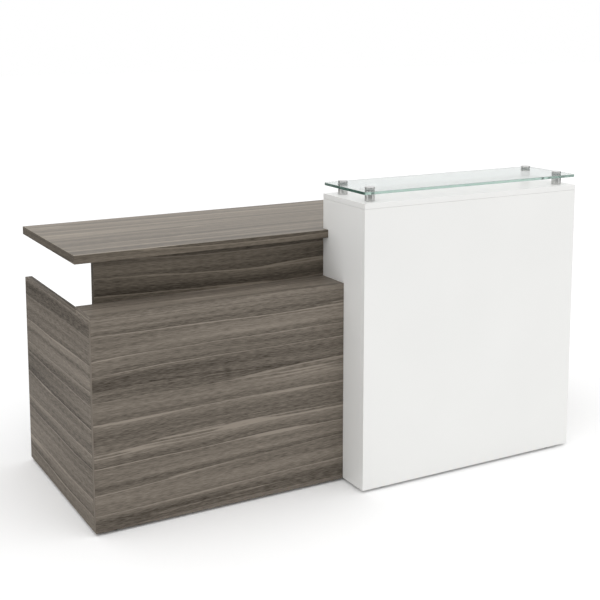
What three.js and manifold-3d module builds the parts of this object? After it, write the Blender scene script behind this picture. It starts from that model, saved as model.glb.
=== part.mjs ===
// Reception desk: a wood counter with a front ledge, and a white tower under a glass shelf.
// Millimetres, +Z up, the public side faces -Y. x runs from the left end panel's outer face,
// y from the wood front's face and z from the floor; the finished group is centred on its feet.
import * as THREE from 'three';
import { mergeVertices } from 'three/addons/utils/BufferGeometryUtils.js';
import Module from 'manifold-3d';

const wasm = await Module();
wasm.setup();

// Clearances: between boards, between stacked fittings, round a pin in its hole
const JOINT = 0.3;
const SEAT = 0.2;
const PIN_CLEARANCE = 0.3;

// Board thicknesses
const PANEL = 19;
const END_BOARD = 25;
const LEDGE_BOARD = 22;
const COUNTER_BOARD = 28;

// Plan
const LOW_LENGTH = 914;
const TOWER_WIDTH = 928;
const TOWER_DEPTH = 276;
const TOWER_PROJECTION = 132;
const DESK_DEPTH = 734;
const RISER_SETBACK = 62;
const COUNTER_FRONT_OVERHANG = 36;
const COUNTER_END_OVERHANG = 12;
const COUNTER_BACK_SETBACK = 34;

// Heights
const FLOOR_GAP = 10;
const LEDGE_HEIGHT = 719;
const COUNTER_HEIGHT = 890;
const TOWER_HEIGHT = 1016;
const TOWER_SHELF_HEIGHT = 510;
const RAIL_HEIGHT = 70;
const RAIL_BACK_SETBACK = 14;

// Glass shelf and its standoffs
const GLASS = 9.5;
const GLASS_CORNER = 12;
const STANDOFF_INSET = 50;
const STANDOFF_RADIUS = 17.5;
const BARREL_HEIGHT = 28;
const BARREL_CHAMFER = 0.8;
const WASHER = 1;
const WASHER_RADIUS = 16.5;
const CAP_HEIGHT = 8;
const CAP_ROUND = 1.2;
const STUD_RADIUS = 4;
const STUD_DEPTH = 13;
const STUD_TIP = 1;
const BOLT_REACH = 11;
const BOLT_HEAD = 5;
const BOLT_HEAD_RADIUS = 8;
const GLASS_HOLE_CLEARANCE = 2;

// Levelling glides
const FOOT_RADIUS = 13;
const FOOT_ROUND = 2;
const FOOT_SHOULDER = 4;
const STEM_RADIUS = 4;
const STEM_LENGTH = 40;
const STEM_TIP = 1;
const INSERT_FLANGE = 1.6;
const INSERT_FLANGE_RADIUS = 11;
const INSERT_RADIUS = 5.5;
const INSERT_BARREL = 16;
const FRONT_GLIDE_INSET_LEFT = 70;
const FRONT_GLIDE_INSET_RIGHT = 84;
const TOWER_GLIDE_INSET = 88;
const REAR_GLIDE_INSET = 44;

// Counter brackets
const BRACKET_FIRST = 300;
const BRACKET_PITCH = 510;
const BRACKET_WIDTH = 50;
const BRACKET_PLATE = 5;
const BRACKET_WEB = 6;
const BRACKET_LEG = 260;
const BRACKET_ARM = 430;
const BRACKET_NOSE = 14;
const BRACKET_HEEL = 30;
const BRACKET_TOE = 12;
const BRACKET_HOLE_RADIUS = 3;
const BRACKET_HOLE_INSET = 14;
const BRACKET_HOLE_END = 26;

// Facets
const ROUND_FACETS = 28;
const HIDDEN_FACETS = 16;
const CURVE_FACETS = 10;
const CUT_OVERRUN = 1;

// Planes that several pieces share
const TOWER_LEFT = LOW_LENGTH;
const TOWER_RIGHT = LOW_LENGTH + TOWER_WIDTH;
const TOWER_FRONT = -TOWER_PROJECTION;
const MODESTY_FRONT = TOWER_DEPTH - TOWER_PROJECTION;
const MODESTY_BACK = MODESTY_FRONT + END_BOARD;
const TOWER_BACK = MODESTY_FRONT - JOINT;
const LEDGE_UNDERSIDE = LEDGE_HEIGHT - LEDGE_BOARD;
const COUNTER_UNDERSIDE = COUNTER_HEIGHT - COUNTER_BOARD;
const TOWER_TOP_UNDERSIDE = TOWER_HEIGHT - PANEL;
const TOWER_INNER_LEFT = TOWER_LEFT + PANEL;
const TOWER_INNER_RIGHT = TOWER_RIGHT - PANEL;
const TOWER_INNER_FRONT = TOWER_FRONT + PANEL;
const TOWER_INNER_BACK = TOWER_BACK - PANEL;
const RIGHT_END_INNER = TOWER_RIGHT - END_BOARD;
const RAIL_TOP = FLOOR_GAP + RAIL_HEIGHT;
const RAIL_BACK = DESK_DEPTH - RAIL_BACK_SETBACK;
const GLIDE_FROM_INNER_FACE = JOINT + PANEL / 2;
const INSERT_HOLE_RADIUS = INSERT_RADIUS + PIN_CLEARANCE;
const FOOT_HEIGHT = FLOOR_GAP - INSERT_FLANGE - 2 * SEAT;
const GLASS_BOTTOM = TOWER_HEIGHT + SEAT + BARREL_HEIGHT + SEAT + WASHER + SEAT;
const GLASS_TOP = GLASS_BOTTOM + GLASS;
const CAP_BOTTOM = GLASS_TOP + SEAT + WASHER + SEAT;
const STUD_HOLE_RADIUS = STUD_RADIUS + PIN_CLEARANCE;
const CENTRE_X = TOWER_RIGHT / 2;
const CENTRE_Y = (TOWER_FRONT + DESK_DEPTH) / 2;

const group = new THREE.Group();
group.name = 'reception_desk';

const finishes = {
  wood: { color: 0x746b61, roughness: 0.55, metalness: 0 },
  batten: { color: 0xb79f7c, roughness: 0.75, metalness: 0 },
  white: { color: 0xe9e9e6, roughness: 0.45, metalness: 0 },
  glass: { color: 0xd8e6e0, roughness: 0.05, metalness: 0 },
  steel: { color: 0xc9c9c8, roughness: 0.16, metalness: 1 },
  zinc: { color: 0xa9aaa8, roughness: 0.4, metalness: 1 },
  black: { color: 0x1b1b1b, roughness: 0.6, metalness: 0 },
  bracket: { color: 0x232325, roughness: 0.5, metalness: 0.3 },
  clear: { color: 0xe8ecea, roughness: 0.3, metalness: 0 },
};

function piece(name, geometry, finish) {
  geometry.translate(-CENTRE_X, -CENTRE_Y, 0);
  const mesh = new THREE.Mesh(geometry, new THREE.MeshStandardMaterial(finishes[finish]));
  mesh.name = name;
  group.add(mesh);
}

function block([x0, x1], [y0, y1], [z0, z1]) {
  const geometry = new THREE.BoxGeometry(x1 - x0, y1 - y0, z1 - z0);
  return geometry.translate((x0 + x1) / 2, (y0 + y1) / 2, (z0 + z1) / 2);
}

function outline(points) {
  return new THREE.Shape(points.map(([u, v]) => new THREE.Vector2(u, v)));
}

function extruded(shape, depth) {
  return new THREE.ExtrudeGeometry(shape, { depth, bevelEnabled: false, curveSegments: CURVE_FACETS });
}

function drilled(shape, centres, radius) {
  for (const [x, y] of centres) {
    const hole = new THREE.Path();
    hole.absarc(x, y, radius, 0, 2 * Math.PI, true);
    shape.holes.push(hole);
  }
  return shape;
}

function turned(profile, facets, [x, y]) {
  const points = profile.map(([radius, z]) => new THREE.Vector2(radius, z));
  return new THREE.LatheGeometry(points, facets).rotateX(Math.PI / 2).translate(x, y, 0);
}

function ring(inner, outer, bottom, top, chamfer) {
  return [
    [inner, bottom],
    [outer - chamfer, bottom],
    [outer, bottom + chamfer],
    [outer, top - chamfer],
    [outer - chamfer, top],
    [inner, top],
    [inner, bottom],
  ];
}

function solid(geometry) {
  const bare = geometry.clone();
  bare.deleteAttribute('normal');
  bare.deleteAttribute('uv');
  const merged = mergeVertices(bare);
  return new wasm.Manifold(new wasm.Mesh({
    numProp: 3,
    vertProperties: merged.attributes.position.array,
    triVerts: Uint32Array.from(merged.index.array),
  }));
}

function surface(manifold) {
  const mesh = manifold.getMesh();
  const geometry = new THREE.BufferGeometry();
  geometry.setAttribute('position', new THREE.BufferAttribute(mesh.vertProperties, mesh.numProp));
  geometry.setIndex(new THREE.BufferAttribute(mesh.triVerts, 1));
  geometry.computeVertexNormals();
  return geometry;
}

// A bar with a blind hole up from its bottom face for each glide
function rail(x, y, centres) {
  const depth = STEM_LENGTH + CUT_OVERRUN;
  let body = solid(block(x, y, [FLOOR_GAP, RAIL_TOP]));
  for (const [cx, cy] of centres) {
    const drill = new THREE.CylinderGeometry(
      INSERT_HOLE_RADIUS, INSERT_HOLE_RADIUS, depth + CUT_OVERRUN, HIDDEN_FACETS);
    drill.rotateX(Math.PI / 2).translate(cx, cy, FLOOR_GAP + (depth - CUT_OVERRUN) / 2);
    body = body.subtract(solid(drill));
  }
  return surface(body);
}

// Wood body
const frontGlides = [
  [FRONT_GLIDE_INSET_LEFT, PANEL + GLIDE_FROM_INNER_FACE],
  [LOW_LENGTH - FRONT_GLIDE_INSET_RIGHT, PANEL + GLIDE_FROM_INNER_FACE],
];
const leftRearGlide = [END_BOARD + GLIDE_FROM_INNER_FACE, DESK_DEPTH - REAR_GLIDE_INSET];
const rightRearGlide = [RIGHT_END_INNER - GLIDE_FROM_INNER_FACE, DESK_DEPTH - REAR_GLIDE_INSET];

piece('left_end_panel', block(
  [0, END_BOARD], [PANEL + JOINT, DESK_DEPTH], [FLOOR_GAP, LEDGE_UNDERSIDE - JOINT]), 'wood');
piece('right_end_panel', block(
  [RIGHT_END_INNER, TOWER_RIGHT], [MODESTY_FRONT, DESK_DEPTH], [FLOOR_GAP, COUNTER_UNDERSIDE - JOINT]),
'wood');
piece('front_panel', block(
  [0, LOW_LENGTH - JOINT], [0, PANEL], [FLOOR_GAP, LEDGE_UNDERSIDE - JOINT]), 'wood');
piece('ledge', block(
  [0, LOW_LENGTH - JOINT], [0, TOWER_BACK], [LEDGE_UNDERSIDE, LEDGE_HEIGHT]), 'wood');
piece('ledge_cleat', block(
  [END_BOARD + JOINT, LOW_LENGTH - JOINT], [TOWER_BACK - PANEL, TOWER_BACK],
  [LEDGE_UNDERSIDE - JOINT - PANEL, LEDGE_UNDERSIDE - JOINT]), 'batten');

const modestyShape = outline([
  [END_BOARD + JOINT, FLOOR_GAP],
  [RIGHT_END_INNER - JOINT, FLOOR_GAP],
  [RIGHT_END_INNER - JOINT, COUNTER_UNDERSIDE - JOINT],
  [RISER_SETBACK, COUNTER_UNDERSIDE - JOINT],
  [RISER_SETBACK, LEDGE_UNDERSIDE - JOINT],
  [END_BOARD + JOINT, LEDGE_UNDERSIDE - JOINT],
]);
piece('modesty_panel',
  extruded(modestyShape, END_BOARD).rotateX(Math.PI / 2).translate(0, MODESTY_BACK, 0), 'wood');

const counterShape = outline([
  [-COUNTER_END_OVERHANG, MODESTY_FRONT - COUNTER_FRONT_OVERHANG],
  [TOWER_LEFT - JOINT, MODESTY_FRONT - COUNTER_FRONT_OVERHANG],
  [TOWER_LEFT - JOINT, MODESTY_FRONT],
  [TOWER_RIGHT + COUNTER_END_OVERHANG, MODESTY_FRONT],
  [TOWER_RIGHT + COUNTER_END_OVERHANG, DESK_DEPTH - COUNTER_BACK_SETBACK],
  [-COUNTER_END_OVERHANG, DESK_DEPTH - COUNTER_BACK_SETBACK],
]);
piece('countertop', extruded(counterShape, COUNTER_BOARD).translate(0, 0, COUNTER_UNDERSIDE), 'wood');

piece('front_base_rail', rail(
  [END_BOARD + JOINT, LOW_LENGTH - JOINT], [PANEL + JOINT, PANEL + JOINT + PANEL], frontGlides), 'batten');
piece('left_base_rail', rail(
  [END_BOARD + JOINT, END_BOARD + JOINT + PANEL], [MODESTY_BACK + JOINT, RAIL_BACK], [leftRearGlide]),
'batten');
piece('right_base_rail', rail(
  [RIGHT_END_INNER - JOINT - PANEL, RIGHT_END_INNER - JOINT], [MODESTY_BACK + JOINT, RAIL_BACK],
  [rightRearGlide]), 'batten');

// Steel brackets under the counter: two plates and a curved web, welded into one piece
const plateBack = MODESTY_BACK + JOINT;
const plateTop = COUNTER_UNDERSIDE - JOINT;
const webBack = plateBack + BRACKET_PLATE - CUT_OVERRUN;
const webTop = plateTop - BRACKET_PLATE + CUT_OVERRUN;
const webNose = plateBack + BRACKET_ARM - BRACKET_NOSE;
const webFoot = plateTop - BRACKET_LEG + BRACKET_NOSE;
const webShape = new THREE.Shape();
webShape.moveTo(webBack, webTop);
webShape.lineTo(webBack, webFoot);
webShape.lineTo(webBack + BRACKET_HEEL, webFoot);
webShape.quadraticCurveTo(
  webBack + BRACKET_HEEL, webTop - BRACKET_HEEL, webNose, webTop - BRACKET_TOE);
webShape.lineTo(webNose, webTop);
const webTurn = new THREE.Matrix4().makeBasis(
  new THREE.Vector3(0, 1, 0), new THREE.Vector3(0, 0, 1), new THREE.Vector3(1, 0, 0));

['left', 'middle', 'right'].forEach((place, index) => {
  const middle = BRACKET_FIRST + index * BRACKET_PITCH;
  const width = [middle - BRACKET_WIDTH / 2, middle + BRACKET_WIDTH / 2];
  const leg = block(width, [plateBack, plateBack + BRACKET_PLATE], [plateTop - BRACKET_LEG, plateTop]);
  const arm = block(width, [plateBack, plateBack + BRACKET_ARM], [plateTop - BRACKET_PLATE, plateTop]);
  const web = extruded(webShape, BRACKET_WEB).applyMatrix4(webTurn);
  web.translate(middle - BRACKET_WEB / 2, 0, 0);
  let body = solid(leg).add(solid(arm)).add(solid(web));
  for (const side of [-1, 1]) {
    const x = middle + side * (BRACKET_WIDTH / 2 - BRACKET_HOLE_INSET);
    const drill = new THREE.CylinderGeometry(
      BRACKET_HOLE_RADIUS, BRACKET_HOLE_RADIUS, BRACKET_PLATE + 2 * CUT_OVERRUN, HIDDEN_FACETS);
    const legMiddle = plateBack + BRACKET_PLATE / 2;
    const armMiddle = plateTop - BRACKET_PLATE / 2;
    const legDrill = drill.clone().translate(x, legMiddle, plateTop - BRACKET_LEG + BRACKET_HOLE_END);
    const armDrill = drill.clone().rotateX(Math.PI / 2);
    armDrill.translate(x, plateBack + BRACKET_ARM - BRACKET_HOLE_END, armMiddle);
    body = body.subtract(solid(legDrill)).subtract(solid(armDrill));
  }
  piece(`counter_bracket_${place}`, surface(body), 'bracket');
});

// White tower: sides, back and front stand between the bottom and the top board
const towerTop = TOWER_TOP_UNDERSIDE - JOINT;
const towerGlideY = [TOWER_INNER_FRONT + GLIDE_FROM_INNER_FACE, TOWER_INNER_BACK - GLIDE_FROM_INNER_FACE];
const towerGlideX = [TOWER_LEFT + TOWER_GLIDE_INSET, TOWER_RIGHT - TOWER_GLIDE_INSET];
const towerGlides = towerGlideY.flatMap((y) => towerGlideX.map((x) => [x, y]));
const towerInside = [
  [TOWER_INNER_LEFT + JOINT, TOWER_INNER_FRONT + JOINT],
  [TOWER_INNER_RIGHT - JOINT, TOWER_INNER_FRONT + JOINT],
  [TOWER_INNER_RIGHT - JOINT, TOWER_INNER_BACK - JOINT],
  [TOWER_INNER_LEFT + JOINT, TOWER_INNER_BACK - JOINT],
];
piece('tower_front_panel', block(
  [TOWER_LEFT, TOWER_RIGHT], [TOWER_FRONT, TOWER_INNER_FRONT], [FLOOR_GAP, towerTop]), 'white');
piece('tower_left_side', block(
  [TOWER_LEFT, TOWER_INNER_LEFT], [TOWER_INNER_FRONT + JOINT, TOWER_BACK], [FLOOR_GAP, towerTop]), 'white');
piece('tower_right_side', block(
  [TOWER_INNER_RIGHT, TOWER_RIGHT], [TOWER_INNER_FRONT + JOINT, TOWER_BACK], [FLOOR_GAP, towerTop]),
'white');
piece('tower_back_panel', block(
  [TOWER_INNER_LEFT + JOINT, TOWER_INNER_RIGHT - JOINT], [TOWER_INNER_BACK, TOWER_BACK],
  [FLOOR_GAP, towerTop]), 'white');
piece('tower_bottom', extruded(drilled(outline(towerInside), towerGlides, INSERT_HOLE_RADIUS), PANEL)
  .translate(0, 0, FLOOR_GAP), 'white');
piece('tower_shelf', extruded(outline(towerInside), PANEL).translate(0, 0, TOWER_SHELF_HEIGHT), 'white');

// Glass shelf on four standoffs: bolt, barrel, washer, glass, washer and cap with its stud
const standoffX = [TOWER_LEFT + STANDOFF_INSET, TOWER_RIGHT - STANDOFF_INSET];
const standoffY = [TOWER_FRONT + STANDOFF_INSET, TOWER_BACK - STANDOFF_INSET];
const standoffs = standoffY.flatMap((y) => standoffX.map((x) => [x, y]));
const towerPlan = outline([
  [TOWER_LEFT, TOWER_FRONT],
  [TOWER_RIGHT, TOWER_FRONT],
  [TOWER_RIGHT, TOWER_BACK],
  [TOWER_LEFT, TOWER_BACK],
]);
piece('tower_top', extruded(drilled(towerPlan, standoffs, STUD_HOLE_RADIUS), PANEL)
  .translate(0, 0, TOWER_TOP_UNDERSIDE), 'white');

const glassPlan = new THREE.Shape();
const quarter = Math.PI / 2;
[
  [TOWER_LEFT + GLASS_CORNER, TOWER_FRONT + GLASS_CORNER],
  [TOWER_RIGHT - GLASS_CORNER, TOWER_FRONT + GLASS_CORNER],
  [TOWER_RIGHT - GLASS_CORNER, TOWER_BACK - GLASS_CORNER],
  [TOWER_LEFT + GLASS_CORNER, TOWER_BACK - GLASS_CORNER],
].forEach(([x, y], corner) => {
  const start = (corner + 2) * quarter;
  glassPlan.absarc(x, y, GLASS_CORNER, start, start + quarter, false);
});
piece('glass_shelf', extruded(
  drilled(glassPlan, standoffs, STUD_RADIUS + GLASS_HOLE_CLEARANCE), GLASS)
  .translate(0, 0, GLASS_BOTTOM), 'glass');

const corners = ['front_left', 'front_right', 'rear_left', 'rear_right'];
const barrelBottom = TOWER_HEIGHT + SEAT;
const barrelTop = barrelBottom + BARREL_HEIGHT;
const boltTop = barrelBottom + BOLT_REACH;
const headTop = TOWER_TOP_UNDERSIDE - SEAT;
const headBottom = headTop - BOLT_HEAD;
const studBottom = barrelTop - STUD_DEPTH;
const capTop = CAP_BOTTOM + CAP_HEIGHT;
standoffs.forEach((place, index) => {
  const corner = corners[index];
  piece(`standoff_barrel_${corner}`, turned(
    ring(STUD_HOLE_RADIUS, STANDOFF_RADIUS, barrelBottom, barrelTop, BARREL_CHAMFER), ROUND_FACETS, place),
  'steel');
  piece(`standoff_lower_washer_${corner}`, turned([
    [STUD_HOLE_RADIUS, barrelTop + SEAT],
    [WASHER_RADIUS, barrelTop + SEAT],
    [WASHER_RADIUS, barrelTop + SEAT + WASHER],
    [STUD_HOLE_RADIUS, barrelTop + SEAT + WASHER],
    [STUD_HOLE_RADIUS, barrelTop + SEAT],
  ], ROUND_FACETS, place), 'clear');
  piece(`standoff_upper_washer_${corner}`, turned([
    [STUD_HOLE_RADIUS, GLASS_TOP + SEAT],
    [WASHER_RADIUS, GLASS_TOP + SEAT],
    [WASHER_RADIUS, GLASS_TOP + SEAT + WASHER],
    [STUD_HOLE_RADIUS, GLASS_TOP + SEAT + WASHER],
    [STUD_HOLE_RADIUS, GLASS_TOP + SEAT],
  ], ROUND_FACETS, place), 'clear');
  piece(`standoff_cap_${corner}`, turned([
    [0, studBottom],
    [STUD_RADIUS - STUD_TIP, studBottom],
    [STUD_RADIUS, studBottom + STUD_TIP],
    [STUD_RADIUS, CAP_BOTTOM],
    [STANDOFF_RADIUS - BARREL_CHAMFER, CAP_BOTTOM],
    [STANDOFF_RADIUS, CAP_BOTTOM + BARREL_CHAMFER],
    [STANDOFF_RADIUS, capTop - CAP_ROUND],
    [STANDOFF_RADIUS - CAP_ROUND, capTop],
    [0, capTop],
  ], ROUND_FACETS, place), 'steel');
  piece(`standoff_bolt_${corner}`, turned([
    [0, headBottom],
    [BOLT_HEAD_RADIUS - STUD_TIP, headBottom],
    [BOLT_HEAD_RADIUS, headBottom + STUD_TIP],
    [BOLT_HEAD_RADIUS, headTop],
    [STUD_RADIUS, headTop],
    [STUD_RADIUS, boltTop - STUD_TIP],
    [STUD_RADIUS - STUD_TIP, boltTop],
    [0, boltTop],
  ], HIDDEN_FACETS, place), 'zinc');
});

// Levelling glides: a threaded insert in each rail or board, and a foot on its stem
const glides = [
  ['front_left', frontGlides[0]],
  ['front_right', frontGlides[1]],
  ['rear_left', leftRearGlide],
  ['rear_right', rightRearGlide],
  ...corners.map((corner, index) => [`tower_${corner}`, towerGlides[index]]),
];
const flangeBottom = FLOOR_GAP - SEAT - INSERT_FLANGE;
const flangeTop = FLOOR_GAP - SEAT;
const insertTop = FLOOR_GAP + INSERT_BARREL;
const stemHole = STEM_RADIUS + PIN_CLEARANCE;
const stemTop = FOOT_HEIGHT + STEM_LENGTH;
for (const [name, place] of glides) {
  piece(`glide_insert_${name}`, turned([
    [stemHole, flangeBottom],
    [INSERT_FLANGE_RADIUS, flangeBottom],
    [INSERT_FLANGE_RADIUS, flangeTop],
    [INSERT_RADIUS, flangeTop],
    [INSERT_RADIUS, insertTop],
    [stemHole, insertTop],
    [stemHole, flangeBottom],
  ], HIDDEN_FACETS, place), 'zinc');
  piece(`glide_foot_${name}`, turned([
    [0, 0],
    [FOOT_RADIUS - FOOT_ROUND, 0],
    [FOOT_RADIUS, FOOT_ROUND],
    [FOOT_RADIUS, FOOT_HEIGHT - FOOT_ROUND],
    [FOOT_RADIUS - FOOT_SHOULDER, FOOT_HEIGHT],
    [STEM_RADIUS, FOOT_HEIGHT],
    [STEM_RADIUS, stemTop - STEM_TIP],
    [STEM_RADIUS - STEM_TIP, stemTop],
    [0, stemTop],
  ], HIDDEN_FACETS, place), 'black');
}

export default group;
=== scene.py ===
import math

import bmesh
import bpy
from mathutils import Matrix, Vector


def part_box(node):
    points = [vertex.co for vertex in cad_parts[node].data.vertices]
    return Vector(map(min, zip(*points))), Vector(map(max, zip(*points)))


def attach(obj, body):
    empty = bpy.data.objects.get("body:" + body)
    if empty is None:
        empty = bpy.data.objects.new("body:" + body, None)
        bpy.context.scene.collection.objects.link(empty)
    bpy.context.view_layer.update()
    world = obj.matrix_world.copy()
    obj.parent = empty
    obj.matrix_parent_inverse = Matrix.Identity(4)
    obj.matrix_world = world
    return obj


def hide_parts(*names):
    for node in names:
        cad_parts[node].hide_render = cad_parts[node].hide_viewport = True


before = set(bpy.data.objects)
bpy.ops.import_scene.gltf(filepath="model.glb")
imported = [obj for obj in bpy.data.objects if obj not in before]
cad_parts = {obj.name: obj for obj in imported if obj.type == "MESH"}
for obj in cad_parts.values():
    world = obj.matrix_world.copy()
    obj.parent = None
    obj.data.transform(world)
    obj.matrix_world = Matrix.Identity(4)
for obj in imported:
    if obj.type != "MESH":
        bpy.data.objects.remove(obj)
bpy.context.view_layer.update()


# Wood-grain boards: the end panels, front panel, modesty panel, ledge and countertop.
# Each is a chipboard core under printed laminate, with thin matching bands glued on its edges,
# and the grain follows the desk round: along X on the long boards, along Y on the end panels.
class Tap:
    """A shader socket that takes part in sums, and makes the other nodes of its tree."""

    def __init__(self, tree, socket):
        self.tree = tree
        self.socket = socket

    def node(self, kind, settings, sockets, output=0):
        made = self.tree.nodes.new(kind)
        for key, value in settings.items():
            setattr(made, key, value)
        for key, value in sockets.items():
            if isinstance(value, Tap):
                self.tree.links.new(value.socket, made.inputs[key])
            else:
                made.inputs[key].default_value = value
        return Tap(self.tree, made.outputs[output])

    def pick(self, output):
        return Tap(self.tree, self.socket.node.outputs[output])

    def math(self, operation, first, second):
        return self.node("ShaderNodeMath", {"operation": operation}, {0: first, 1: second})

    def __add__(self, other):
        return self.math("ADD", self, other)

    def __radd__(self, other):
        return self.math("ADD", other, self)

    def __sub__(self, other):
        return self.math("SUBTRACT", self, other)

    def __rsub__(self, other):
        return self.math("SUBTRACT", other, self)

    def __mul__(self, other):
        return self.math("MULTIPLY", self, other)

    def __rmul__(self, other):
        return self.math("MULTIPLY", other, self)


def start_finish(name):
    finish = bpy.data.materials.new(name)
    finish.use_nodes = True
    tree = finish.node_tree
    shader = tree.nodes["Principled BSDF"]
    place = Tap(tree, tree.nodes.new("ShaderNodeTexCoord").outputs["Object"])
    return finish, shader, place


def feed(shader, socket, tap):
    tap.tree.links.new(tap.socket, shader.inputs[socket])


def noise(place, vector, scale, detail=2.0, roughness=0.5):
    return place.node("ShaderNodeTexNoise", {}, {
        "Vector": vector, "Scale": scale, "Detail": detail, "Roughness": roughness})


def rise(tap, low, high):
    return tap.node("ShaderNodeMapRange", {"interpolation_type": "SMOOTHSTEP"}, {
        "Value": tap, "From Min": low, "From Max": high})


def blend(tap, first, second):
    return tap.node("ShaderNodeMix", {"data_type": "RGBA"}, {0: tap, 6: first, 7: second}, 2)


def bump(tap, strength, distance):
    return tap.node("ShaderNodeBump", {}, {"Strength": strength, "Distance": distance, "Height": tap})


def grained_finish(name, axis, dark, light, contrast, sheen, matt):
    finish, shader, place = start_finish(name)
    split = place.node("ShaderNodeSeparateXYZ", {}, {0: place})
    along = split.pick(axis)
    across = split.pick((axis + 1) % 3) + split.pick((axis + 2) % 3)

    def streak(coordinate, stretch, pitch, seed, detail):
        vector = place.node("ShaderNodeCombineXYZ", {}, {
            0: along * stretch, 1: coordinate * pitch, 2: seed})
        return noise(place, vector, scale=1.0, detail=detail, roughness=0.55)

    drift = streak(across, stretch=0.9, pitch=2.6, seed=1.3, detail=2.0) - 0.5
    grain = across + drift * 0.06
    bands = streak(grain, stretch=0.4, pitch=15.0, seed=4.7, detail=3.0)
    lines = streak(grain, stretch=0.7, pitch=55.0, seed=8.1, detail=2.0)
    fibre = streak(grain, stretch=34.0, pitch=390.0, seed=12.9, detail=2.0)
    pores = streak(grain, stretch=26.0, pitch=1400.0, seed=17.2, detail=1.0)
    # A growth ring brightens to a thin pale line and starts again darker. The line comes and goes.
    rings_per_metre = 14.0
    ring_count = grain * rings_per_metre + bands * 2.2
    ring = ring_count.node("ShaderNodeMath", {"operation": "FRACT"}, {0: ring_count})
    here = rise(streak(grain, stretch=0.9, pitch=8.0, seed=23.5, detail=1.0), 0.38, 0.56)
    hairline = rise(ring, 0.91, 0.965) * (1.0 - rise(ring, 0.975, 1.0)) * here
    tone = 0.48 + contrast * ((bands - 0.5) * 0.8 + (lines - 0.5) * 0.6 + (fibre - 0.5) * 1.08
                              + (ring - 0.5) * 0.24 + hairline * 0.6)
    feed(shader, "Base Color", blend(tone, dark, light))
    feed(shader, "Roughness", matt + (fibre - 0.5) * 0.2)
    feed(shader, "Normal", bump(fibre + pores, strength=0.12, distance=0.0003))
    shader.inputs["IOR"].default_value = 1.5
    shader.inputs["Specular IOR Level"].default_value = sheen
    return finish


def solid_shape(node):
    shape = bmesh.new()
    shape.from_mesh(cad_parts[node].data)
    bmesh.ops.remove_doubles(shape, verts=shape.verts, dist=WELD)
    bmesh.ops.dissolve_limit(shape, angle_limit=0.01, verts=shape.verts, edges=shape.edges)
    return shape


def ease(shape, edges, offset):
    bmesh.ops.bevel(shape, geom=edges, offset=offset, offset_type="OFFSET", affect="EDGES",
                    segments=2, profile=0.5, material=-1)


def piece(name, shape, finishes, slot, body, *nodes):
    mesh = bpy.data.meshes.new(name)
    shape.to_mesh(mesh)
    shape.free()
    for finish in finishes:
        mesh.materials.append(finish)
    made = bpy.data.objects.new(name, mesh)
    bpy.context.scene.collection.objects.link(made)
    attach(made, body)
    if nodes:
        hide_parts(*nodes)
    return made


def axis_of_grain(face, board_axis, size):
    """The board's own axis, or the face's longer side where the grain would run into the face."""
    flat = max(range(3), key=lambda k: abs(face.normal[k]))
    if flat != board_axis:
        return board_axis
    return max((k for k in range(3) if k != flat), key=lambda k: size[k])


def board(node, name, finishes, board_axis, slot, edge):
    shape = solid_shape(node)
    ease(shape, [e for e in shape.edges if e.calc_face_angle(0.0) > 0.5], edge)
    low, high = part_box(node)
    for face in shape.faces:
        face.material_index = axis_of_grain(face, board_axis, high - low)
    return piece(name, shape, finishes, slot, "desk", node)


WELD = 1e-6
ALONG_X = 0
ALONG_Y = 1
EDGE_BAND_ROUND = 0.0008
LAMINATE_DARK = (0.030, 0.023, 0.016, 1.0)
LAMINATE_LIGHT = (0.263, 0.228, 0.189, 1.0)
# Darker laminate colours: a darker edge band on the countertop, and painted shade on the modesty panel.
EDGE_TONE_AND_SHADE_DARK = (0.022, 0.017, 0.012, 1.0)
EDGE_TONE_AND_SHADE_LIGHT = (0.190, 0.162, 0.129, 1.0)
# Paler laminate colours for the countertop's top face: painted light.
PAINTED_LIT_TOP_DARK = (0.060, 0.048, 0.035, 1.0)
PAINTED_LIT_TOP_LIGHT = (0.287, 0.242, 0.188, 1.0)
panel_laminate = [
    grained_finish(f"panel_laminate_{name}", axis, LAMINATE_DARK, LAMINATE_LIGHT, contrast, sheen, matt)
    for axis, (name, contrast, sheen, matt) in enumerate([
        ("x", 1.0, 0.16, 0.5), ("y", 1.2, 0.1, 0.58), ("z", 1.0, 0.06, 0.6)])]
for node, grain_axis in [("left_end_panel", ALONG_Y), ("right_end_panel", ALONG_Y),
                         ("front_panel", ALONG_X), ("ledge", ALONG_X)]:
    board(node, f"{node}_board", panel_laminate, grain_axis, "wood_laminate", EDGE_BAND_ROUND)
# A darker tone of the same laminate. The countertop's edge bands and underside take it as their own darker
# colour. On the modesty panel, which stands under the countertop's overhang, the darker tone is painted
# shade.
edge_tone_and_painted_shade_laminate = [
    grained_finish(f"edge_tone_and_painted_shade_laminate_{name}", axis, EDGE_TONE_AND_SHADE_DARK, EDGE_TONE_AND_SHADE_LIGHT, contrast=1.0, sheen=0.1, matt=0.55)
    for axis, name in enumerate("xyz")]
board("modesty_panel", "modesty_panel_board", edge_tone_and_painted_shade_laminate, ALONG_X, "wood_laminate", EDGE_BAND_ROUND)
# The countertop's top face takes a paler copy of the laminate, with lighter darks and more contrast. This is
# painted light, standing in for the bright sheen that the top shows at a grazing view.
painted_lit_top = grained_finish("painted_lit_top_laminate", ALONG_X, PAINTED_LIT_TOP_DARK, PAINTED_LIT_TOP_LIGHT,
                         contrast=1.3, sheen=0.28, matt=0.44)
countertop = board("countertop", "countertop_board", edge_tone_and_painted_shade_laminate + [painted_lit_top], ALONG_X,
                   "wood_laminate", EDGE_BAND_ROUND)
for face in countertop.data.polygons:
    if face.normal.z > 0.9:
        face.material_index = len(edge_tone_and_painted_shade_laminate)


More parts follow.
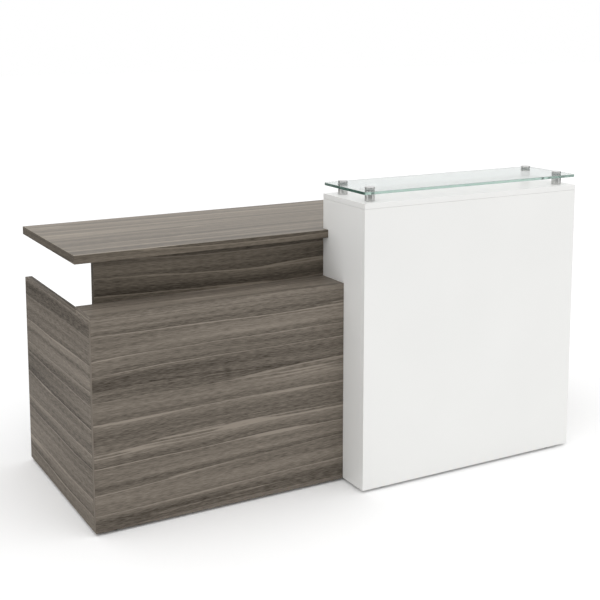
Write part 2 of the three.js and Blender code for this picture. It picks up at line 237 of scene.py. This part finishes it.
# Base rails and ledge cleat: sanded softwood battens screwed inside the panels.
# The rails carry the glides at their bottom edges, and the cleat carries the ledge's back edge.
BATTEN_DARK = (0.30, 0.19, 0.095, 1.0)
BATTEN_LIGHT = (0.55, 0.42, 0.26, 1.0)
BATTEN_ROUND = 0.0012
batten = [
    grained_finish(f"batten_wood_{name}", axis, BATTEN_DARK, BATTEN_LIGHT, contrast=0.9, sheen=0.3, matt=0.6)
    for axis, name in enumerate("xyz")]
for node, grain_axis in [("front_base_rail", ALONG_X), ("left_base_rail", ALONG_Y),
                         ("right_base_rail", ALONG_Y), ("ledge_cleat", ALONG_X)]:
    board(node, f"{node}_batten", batten, grain_axis, "batten_wood", BATTEN_ROUND)


# Zinc-plated screws: they hold the rails to the end panels and the brackets to the boards.
# Each has a low domed head with a six-lobed recess, so it shows as a driven screw and not a dot.
RAIL_SCREW_RADIUS = 0.0045
HEAD_SEGMENTS = 24
HEAD_TIERS = [(0.28, 0.06), (0.16, 0.2), (0.05, 0.2)]
RECESS_LOBES = 6
RECESS_DEPTH = 0.35
zinc, shader, place = start_finish("zinc_plate")
cloud = noise(place, place, scale=260.0, detail=3.0, roughness=0.6)
feed(shader, "Base Color", blend(cloud, (0.36, 0.37, 0.36, 1.0), (0.56, 0.56, 0.54, 1.0)))
feed(shader, "Roughness", 0.24 + cloud * 0.2)
shader.inputs["Metallic"].default_value = 1.0


def add_screw(shape, centre, direction, radius):
    head = bmesh.ops.create_circle(shape, cap_ends=True, segments=HEAD_SEGMENTS, radius=radius)["verts"]
    face = head[0].link_faces[0]
    if face.normal.z < 0:
        face.normal_flip()
    for lift, taper in HEAD_TIERS:
        face = bmesh.ops.extrude_discrete_faces(shape, faces=[face])["faces"][0]
        bmesh.ops.translate(shape, verts=face.verts, vec=(0, 0, radius * lift))
        bmesh.ops.scale(shape, verts=face.verts, vec=(1.0 - taper, 1.0 - taper, 1))
    bmesh.ops.inset_region(shape, faces=[face], thickness=radius * 0.05)
    for vert in face.verts:
        angle = math.atan2(vert.co.y, vert.co.x)
        swell = 1.0 + 0.16 * math.cos(RECESS_LOBES * angle)
        vert.co.x *= swell
        vert.co.y *= swell
    floor = bmesh.ops.extrude_discrete_faces(shape, faces=[face])["faces"][0]
    bmesh.ops.translate(shape, verts=floor.verts, vec=(0, 0, -radius * RECESS_DEPTH))
    found = set()
    queue = list(floor.verts)
    while queue:
        vert = queue.pop()
        if vert not in found:
            found.add(vert)
            queue.extend(e.other_vert(vert) for e in vert.link_edges)
    turn = Vector(direction).to_track_quat("Z", "Y").to_matrix().to_4x4()
    bmesh.ops.transform(shape, matrix=Matrix.Translation(centre) @ turn, verts=list(found))


shape = bmesh.new()
for node, side in [("left_base_rail", 1), ("right_base_rail", -1)]:
    low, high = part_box(node)
    face_x = high.x if side > 0 else low.x
    for share in (0.12, 0.5, 0.88):
        place_y = low.y + (high.y - low.y) * share
        add_screw(shape, (face_x, place_y, (low.z + high.z) / 2), (side, 0, 0), RAIL_SCREW_RADIUS)
piece("rail_screws", shape, [zinc], "zinc_steel", "desk")


# Counter brackets: two steel plates and a curved web, welded, then powder coated black.
# The leg is screwed to the modesty panel's back and the arm to the countertop's underside.
BRACKET_PLATE = 0.005
BRACKET_ROUND = 0.0005
BRACKET_HOLE_INSET = 0.026
BRACKET_HOLE_OFFSET = 0.011
BRACKET_SCREW_RADIUS = 0.0055
powder, shader, place = start_finish("bracket_powder_coat")
orange_peel = noise(place, place, scale=900.0)
feed(shader, "Base Color", blend(orange_peel, (0.012, 0.012, 0.013, 1.0), (0.026, 0.026, 0.028, 1.0)))
feed(shader, "Roughness", 0.42 + orange_peel * 0.2)
feed(shader, "Normal", bump(orange_peel, strength=0.2, distance=0.0002))
shape = bmesh.new()
for side in ("left", "middle", "right"):
    node = f"counter_bracket_{side}"
    steel = solid_shape(node)
    rims = [e for e in steel.edges if e.calc_face_angle(0.0) > 1.2 and e.calc_length() > 0.003]
    ease(steel, rims, BRACKET_ROUND)
    piece(f"{node}_plate", steel, [powder], "bracket_steel", "desk", node)
    low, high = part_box(node)
    leg_face = low.y + BRACKET_PLATE
    arm_face = high.z - BRACKET_PLATE
    for hand in (-1, 1):
        hole_x = (low.x + high.x) / 2 + hand * BRACKET_HOLE_OFFSET
        add_screw(shape, (hole_x, leg_face, low.z + BRACKET_HOLE_INSET), (0, 1, 0), BRACKET_SCREW_RADIUS)
        add_screw(shape, (hole_x, high.y - BRACKET_HOLE_INSET, arm_face), (0, 0, -1), BRACKET_SCREW_RADIUS)
piece("bracket_screws", shape, [zinc], "zinc_steel", "desk")


# Tower boards: white laminate on board, with the top lying over the front and the sides.
# The surface is satin, with the faint texture of a pressed laminate sheet.
TOWER_EDGE_ROUND = 0.001
white, shader, place = start_finish("white_laminate")
sheet = noise(place, place, scale=1600.0)
cloudy = noise(place, place, scale=3.0)
feed(shader, "Base Color", blend(cloudy, (0.785, 0.785, 0.77, 1.0), (0.825, 0.825, 0.81, 1.0)))
feed(shader, "Roughness", 0.34 + (sheet - 0.5) * 0.12)
feed(shader, "Normal", bump(sheet, strength=0.04, distance=0.0001))
shader.inputs["IOR"].default_value = 1.5
for node in ("tower_front_panel", "tower_left_side", "tower_right_side", "tower_back_panel",
             "tower_bottom", "tower_shelf", "tower_top"):
    board(node, f"{node}_board", [white, white, white], ALONG_X, "white_laminate", TOWER_EDGE_ROUND)


# Standoffs: turned and polished steel, a barrel under the glass and a cap over it.
# A bolt from inside the tower holds each barrel, and clear washers keep steel off the glass.
BARREL_BORE = 0.0043
BARREL_ROUND = 0.0008
CAP_HEIGHT = 0.008
CAP_ROUND = 0.0012
CAP_CHAMFER = 0.0006
STUD_RADIUS = 0.004
STUD_CHAMFER = 0.001


def turned_piece(profile, centre, steps):
    shape = bmesh.new()
    verts = [shape.verts.new((centre[0] + radius, centre[1], height)) for radius, height in profile]
    edges = [shape.edges.new(pair) for pair in zip(verts, verts[1:])]
    bmesh.ops.spin(shape, geom=verts + edges, cent=(centre[0], centre[1], 0), axis=(0, 0, 1),
                   angle=2 * math.pi, steps=steps, use_merge=True)
    bmesh.ops.remove_doubles(shape, verts=shape.verts, dist=WELD)
    bmesh.ops.recalc_face_normals(shape, faces=shape.faces)
    for face in shape.faces:
        face.smooth = True
    for edge in shape.edges:
        edge.smooth = edge.calc_face_angle(0.0) < 0.6
    return shape


def rounded(radius, height, step_in, step_up, count):
    """Points of a quarter round from the side wall at height to the flat face."""
    turns = [math.pi / 2 * k / count for k in range(count + 1)]
    return [(radius - step_in * (1 - math.cos(a)), height + step_up * math.sin(a)) for a in turns]


def dress(node, finish):
    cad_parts[node].data.materials.clear()
    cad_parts[node].data.materials.append(finish)


polished, shader, place = start_finish("standoff_steel")
split = place.node("ShaderNodeSeparateXYZ", {}, {0: place})
lathe_vector = place.node("ShaderNodeCombineXYZ", {}, {0: 0.0, 1: 0.0, 2: split.pick(2) * 2600.0})
lathe_marks = noise(place, lathe_vector, scale=1.0, detail=2.0, roughness=0.6)
feed(shader, "Base Color", blend(lathe_marks, (0.53, 0.53, 0.52, 1.0), (0.69, 0.69, 0.68, 1.0)))
feed(shader, "Roughness", 0.26 + lathe_marks * 0.14)
shader.inputs["Metallic"].default_value = 1.0
shader.inputs["Anisotropic"].default_value = 0.85
shader.inputs["Anisotropic Rotation"].default_value = 0.25
clear_ring, shader, place = start_finish("washer_plastic")
haze = noise(place, place, scale=700.0)
feed(shader, "Base Color", blend(haze, (0.76, 0.80, 0.79, 1.0), (0.86, 0.89, 0.88, 1.0)))
feed(shader, "Roughness", 0.2 + haze * 0.2)
shader.inputs["Transmission Weight"].default_value = 0.5
for corner in ("front_left", "front_right", "rear_left", "rear_right"):
    low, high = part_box(f"standoff_barrel_{corner}")
    centre = ((low.x + high.x) / 2, (low.y + high.y) / 2)
    outer = (high.x - low.x) / 2
    round_top = rounded(outer, high.z - BARREL_ROUND, BARREL_ROUND, BARREL_ROUND, count=4)
    round_foot = [(r, low.z + high.z - z) for r, z in reversed(round_top)]
    wall = [(BARREL_BORE, low.z)] + round_foot + round_top
    wall += [(BARREL_BORE, high.z), (BARREL_BORE, low.z)]
    piece(f"standoff_barrel_{corner}_turned", turned_piece(wall, centre, steps=64), [polished],
          "standoff_steel", "desk", f"standoff_barrel_{corner}")
    low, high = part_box(f"standoff_cap_{corner}")
    under = high.z - CAP_HEIGHT
    wall = [(0, low.z), (STUD_RADIUS - STUD_CHAMFER, low.z), (STUD_RADIUS, low.z + STUD_CHAMFER)]
    wall += [(STUD_RADIUS, under), (outer - CAP_CHAMFER, under), (outer, under + CAP_CHAMFER)]
    wall += rounded(outer, high.z - CAP_ROUND, CAP_ROUND, CAP_ROUND, count=5)
    wall += [(0, high.z)]
    piece(f"standoff_cap_{corner}_turned", turned_piece(wall, centre, steps=64), [polished],
          "standoff_steel", "desk", f"standoff_cap_{corner}")
    for ring in ("lower", "upper"):
        dress(f"standoff_{ring}_washer_{corner}", clear_ring)
    dress(f"standoff_bolt_{corner}", zinc)


# Glass shelf: clear float glass with rounded corners, drilled for the studs, its edges polished.
# The faces are nearly colourless, and the edges show the green of the glass's depth.
GLASS_IOR = 1.5
RIM_ROUND = 0.0006
FACE_SLOT = 0
LONG_EDGE_SLOT = 1
END_EDGE_SLOT = 2
face_glass, shader, place = start_finish("shelf_glass_face")
film = noise(place, place, scale=9.0)
feed(shader, "Base Color", blend(film, (0.635, 0.685, 0.67, 1.0), (0.655, 0.705, 0.69, 1.0)))
feed(shader, "Roughness", film * 0.02)
shadow = Tap(place.tree, place.tree.nodes.new("ShaderNodeLightPath").outputs["Is Shadow Ray"])
feed(shader, "Alpha", 1.0 - shadow.math("MAXIMUM", shadow, shadow.pick("Is Diffuse Ray")))
shader.inputs["Transmission Weight"].default_value = 1.0
shader.inputs["IOR"].default_value = GLASS_IOR
side_glass = []
for name, deep, pale, clear in [("long_edge", (0.34, 0.50, 0.44, 1.0), (0.62, 0.76, 0.70, 1.0), 0.75),
                                ("end_edge", (0.03, 0.08, 0.06, 1.0), (0.16, 0.28, 0.23, 1.0), 0.4)]:
    edge, shader, place = start_finish(f"shelf_glass_{name}")
    depth = noise(place, place, scale=40.0)
    feed(shader, "Base Color", blend(depth, deep, pale))
    feed(shader, "Roughness", 0.05 + depth * 0.08)
    shader.inputs["Transmission Weight"].default_value = clear
    shader.inputs["IOR"].default_value = GLASS_IOR
    side_glass.append(edge)
shape = solid_shape("glass_shelf")
rims = [e for e in shape.edges
        if e.calc_face_angle(0.0) > 1.2 and abs(e.verts[0].co.z - e.verts[1].co.z) < 1e-6]
ease(shape, rims, RIM_ROUND)
for face in shape.faces:
    face.material_index = FACE_SLOT
    if abs(face.normal.z) < 0.99:
        face.material_index = END_EDGE_SLOT if abs(face.normal.x) > 0.7 else LONG_EDGE_SLOT
    face.smooth = abs(face.normal.z) < 0.01
piece("glass_shelf_sheet", shape, [face_glass] + side_glass, "shelf_glass", "desk", "glass_shelf")


# Levelling glides: a black moulded foot on a threaded stem, screwed into an insert in each rail.
# The stem's thread shows when a glide is wound out, so it is cut as rings at its pitch.
FOOT_TOP = 0.008
SOLE_ROUND = 0.002
SHOULDER_IN = 0.004
SHOULDER_UP = 0.002
STEM_RADIUS = 0.004
STEM_CHAMFER = 0.001
THREAD_PITCH = 0.00125
THREAD_DEPTH = 0.0006
moulded, shader, place = start_finish("glide_plastic")
pebble = noise(place, place, scale=1500.0)
feed(shader, "Base Color", blend(pebble, (0.008, 0.008, 0.008, 1.0), (0.02, 0.02, 0.02, 1.0)))
feed(shader, "Roughness", 0.45 + pebble * 0.2)
feed(shader, "Normal", bump(pebble, strength=0.15, distance=0.0001))
for name in ("front_left", "front_right", "rear_left", "rear_right", "tower_front_left",
             "tower_front_right", "tower_rear_left", "tower_rear_right"):
    low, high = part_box(f"glide_foot_{name}")
    centre = ((low.x + high.x) / 2, (low.y + high.y) / 2)
    outer = (high.x - low.x) / 2
    wall = [(0, 0)]
    for angle in (0.0, 0.4, 0.8, 1.2, math.pi / 2):
        sole_x = outer - SOLE_ROUND + SOLE_ROUND * math.sin(angle)
        wall.append((sole_x, SOLE_ROUND - SOLE_ROUND * math.cos(angle)))
    wall += rounded(outer, FOOT_TOP - SHOULDER_UP, SHOULDER_IN, SHOULDER_UP, count=5)
    wall.append((STEM_RADIUS, FOOT_TOP))
    for turn in range(int((high.z - STEM_CHAMFER - FOOT_TOP) / THREAD_PITCH)):
        wall.append((STEM_RADIUS - THREAD_DEPTH, FOOT_TOP + THREAD_PITCH * (turn + 0.35)))
        wall.append((STEM_RADIUS, FOOT_TOP + THREAD_PITCH * (turn + 0.95)))
    wall += [(STEM_RADIUS - STEM_CHAMFER, high.z), (0, high.z)]
    piece(f"glide_foot_{name}_moulded", turned_piece(wall, centre, steps=32), [moulded],
          "glide_plastic", f"glide_{name}", f"glide_foot_{name}")
    dress(f"glide_insert_{name}", zinc)


# Floor: a pale paper sheet under the desk, which keeps the desk's shadow.
# The camera, steel and glass see it as pure white, and it bounces a little less light on the desk.
FLOOR_HALF = 30.0
FLOOR_BOUNCE = 0.92


def stage_sheet(name, shape, finish):
    mesh = bpy.data.meshes.new(name)
    shape.to_mesh(mesh)
    shape.free()
    mesh.materials.append(finish)
    made = bpy.data.objects.new(name, mesh)
    bpy.context.scene.collection.objects.link(made)
    return made


def seen_directly(tree):
    path = Tap(tree, tree.nodes.new("ShaderNodeLightPath").outputs["Is Camera Ray"])
    clear = path.math("MAXIMUM", path.pick("Is Glossy Ray"), path.pick("Is Transmission Ray"))
    return path.math("MAXIMUM", path, clear)


paper, shader, place = start_finish("floor_paper")
feed(shader, "Base Color", FLOOR_BOUNCE + seen_directly(place.tree) * (1.0 - FLOOR_BOUNCE))
shader.inputs["Roughness"].default_value = 1.0
shader.inputs["Specular IOR Level"].default_value = 0.0
shape = bmesh.new()
bmesh.ops.create_grid(shape, x_segments=1, y_segments=1, size=FLOOR_HALF)
floor = stage_sheet("floor_sheet", shape, paper)


# Studio cards: dark screens round the tower that only reflections see.
# They give the standoffs their upright bands, and they fade out at their ends and tops,
# so that no hard edge of theirs shows in the glass.
CARD_ARCS = [(-168, -66), (-34, 26), (121, 169)]
CARD_RADIUS = 3.0
CARD_BOTTOM = 0.01
CARD_TOP = 2.4
CARD_END_FADE = math.radians(10)
CARD_TOP_FADE = (1.3, 2.3)
card, shader, place = start_finish("studio_card")
shader.inputs["Base Color"].default_value = (0.0, 0.0, 0.0, 1.0)
shader.inputs["Specular IOR Level"].default_value = 0.0
shader.inputs["Emission Color"].default_value = (1.0, 1.0, 1.0, 1.0)
shader.inputs["Emission Strength"].default_value = 0.05
low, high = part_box("tower_top")
centre = (low + high) / 2
split = place.node("ShaderNodeSeparateXYZ", {}, {0: place})
bearing = place.math("ARCTAN2", split.pick(1) - centre.y, split.pick(0) - centre.x)
cover = bearing * 0.0
shape = bmesh.new()
for start, end in CARD_ARCS:
    first = math.radians(start)
    last = math.radians(end)
    cover += (rise(bearing, first, first + CARD_END_FADE)
              * (1.0 - rise(bearing, last - CARD_END_FADE, last)))
    bottom = []
    top = []
    for turn in range(start, end + 1, 2):
        card_x = centre.x + CARD_RADIUS * math.cos(math.radians(turn))
        card_y = centre.y + CARD_RADIUS * math.sin(math.radians(turn))
        bottom.append(shape.verts.new((card_x, card_y, CARD_BOTTOM)))
        top.append(shape.verts.new((card_x, card_y, CARD_TOP)))
    for k in range(len(top) - 1):
        shape.faces.new((bottom[k], bottom[k + 1], top[k + 1], top[k]))
feed(shader, "Alpha", cover * (1.0 - rise(split.pick(2), *CARD_TOP_FADE)))
cards = stage_sheet("studio_cards", shape, card)
cards.visible_camera = False
cards.visible_diffuse = False
cards.visible_shadow = False
cards.visible_transmission = False


# Sky, lamp and camera: an even sky that is seen as white, and one broad soft lamp.
# The lamp stands high at the front left, so the front and the tops are lit most,
# and the camera stands where the photo's own edges put it.
SKY_LIGHT = 0.73
LAMP_ENERGY = 1.33
LAMP_ANGLE = 100
LAMP_DIRECTION = (0.2, 0.41, -1.0)
PICTURE_PIXELS = 600
FOCAL_PIXELS = 1118.3
AXIS_ROW = 180.0
SENSOR_WIDTH = 36.0
CAMERA_PLACE = (-1.9870, -3.5426, 1.6154)
CAMERA_DOWN = 8.0187
CAMERA_RIGHT = 29.1139
world = bpy.data.worlds.new("studio")
bpy.context.scene.world = world
world.use_nodes = True
tree = world.node_tree
sky = tree.nodes["Background"]
sky.inputs["Color"].default_value = (1.0, 1.0, 1.0, 1.0)
feed(sky, "Strength", SKY_LIGHT + seen_directly(tree) * (1.0 - SKY_LIGHT))

lamp = bpy.data.lights.new("soft_lamp", "SUN")
lamp.energy = LAMP_ENERGY
lamp.angle = math.radians(LAMP_ANGLE)
lamp_object = bpy.data.objects.new("soft_lamp", lamp)
bpy.context.scene.collection.objects.link(lamp_object)
lamp_object.rotation_euler = Vector(LAMP_DIRECTION).to_track_quat("-Z", "Y").to_euler()

camera = bpy.data.cameras.new("photo_camera")
camera.sensor_width = SENSOR_WIDTH
camera.lens = FOCAL_PIXELS / PICTURE_PIXELS * SENSOR_WIDTH
camera.shift_y = (AXIS_ROW - PICTURE_PIXELS / 2) / PICTURE_PIXELS
camera.clip_end = 100.0
camera_object = bpy.data.objects.new("photo_camera", camera)
bpy.context.scene.collection.objects.link(camera_object)
camera_object.location = CAMERA_PLACE
camera_object.rotation_euler = (math.radians(90 - CAMERA_DOWN), 0.0, math.radians(-CAMERA_RIGHT))
bpy.context.scene.camera = camera_object
bpy.context.scene.view_settings.view_transform = "Standard"
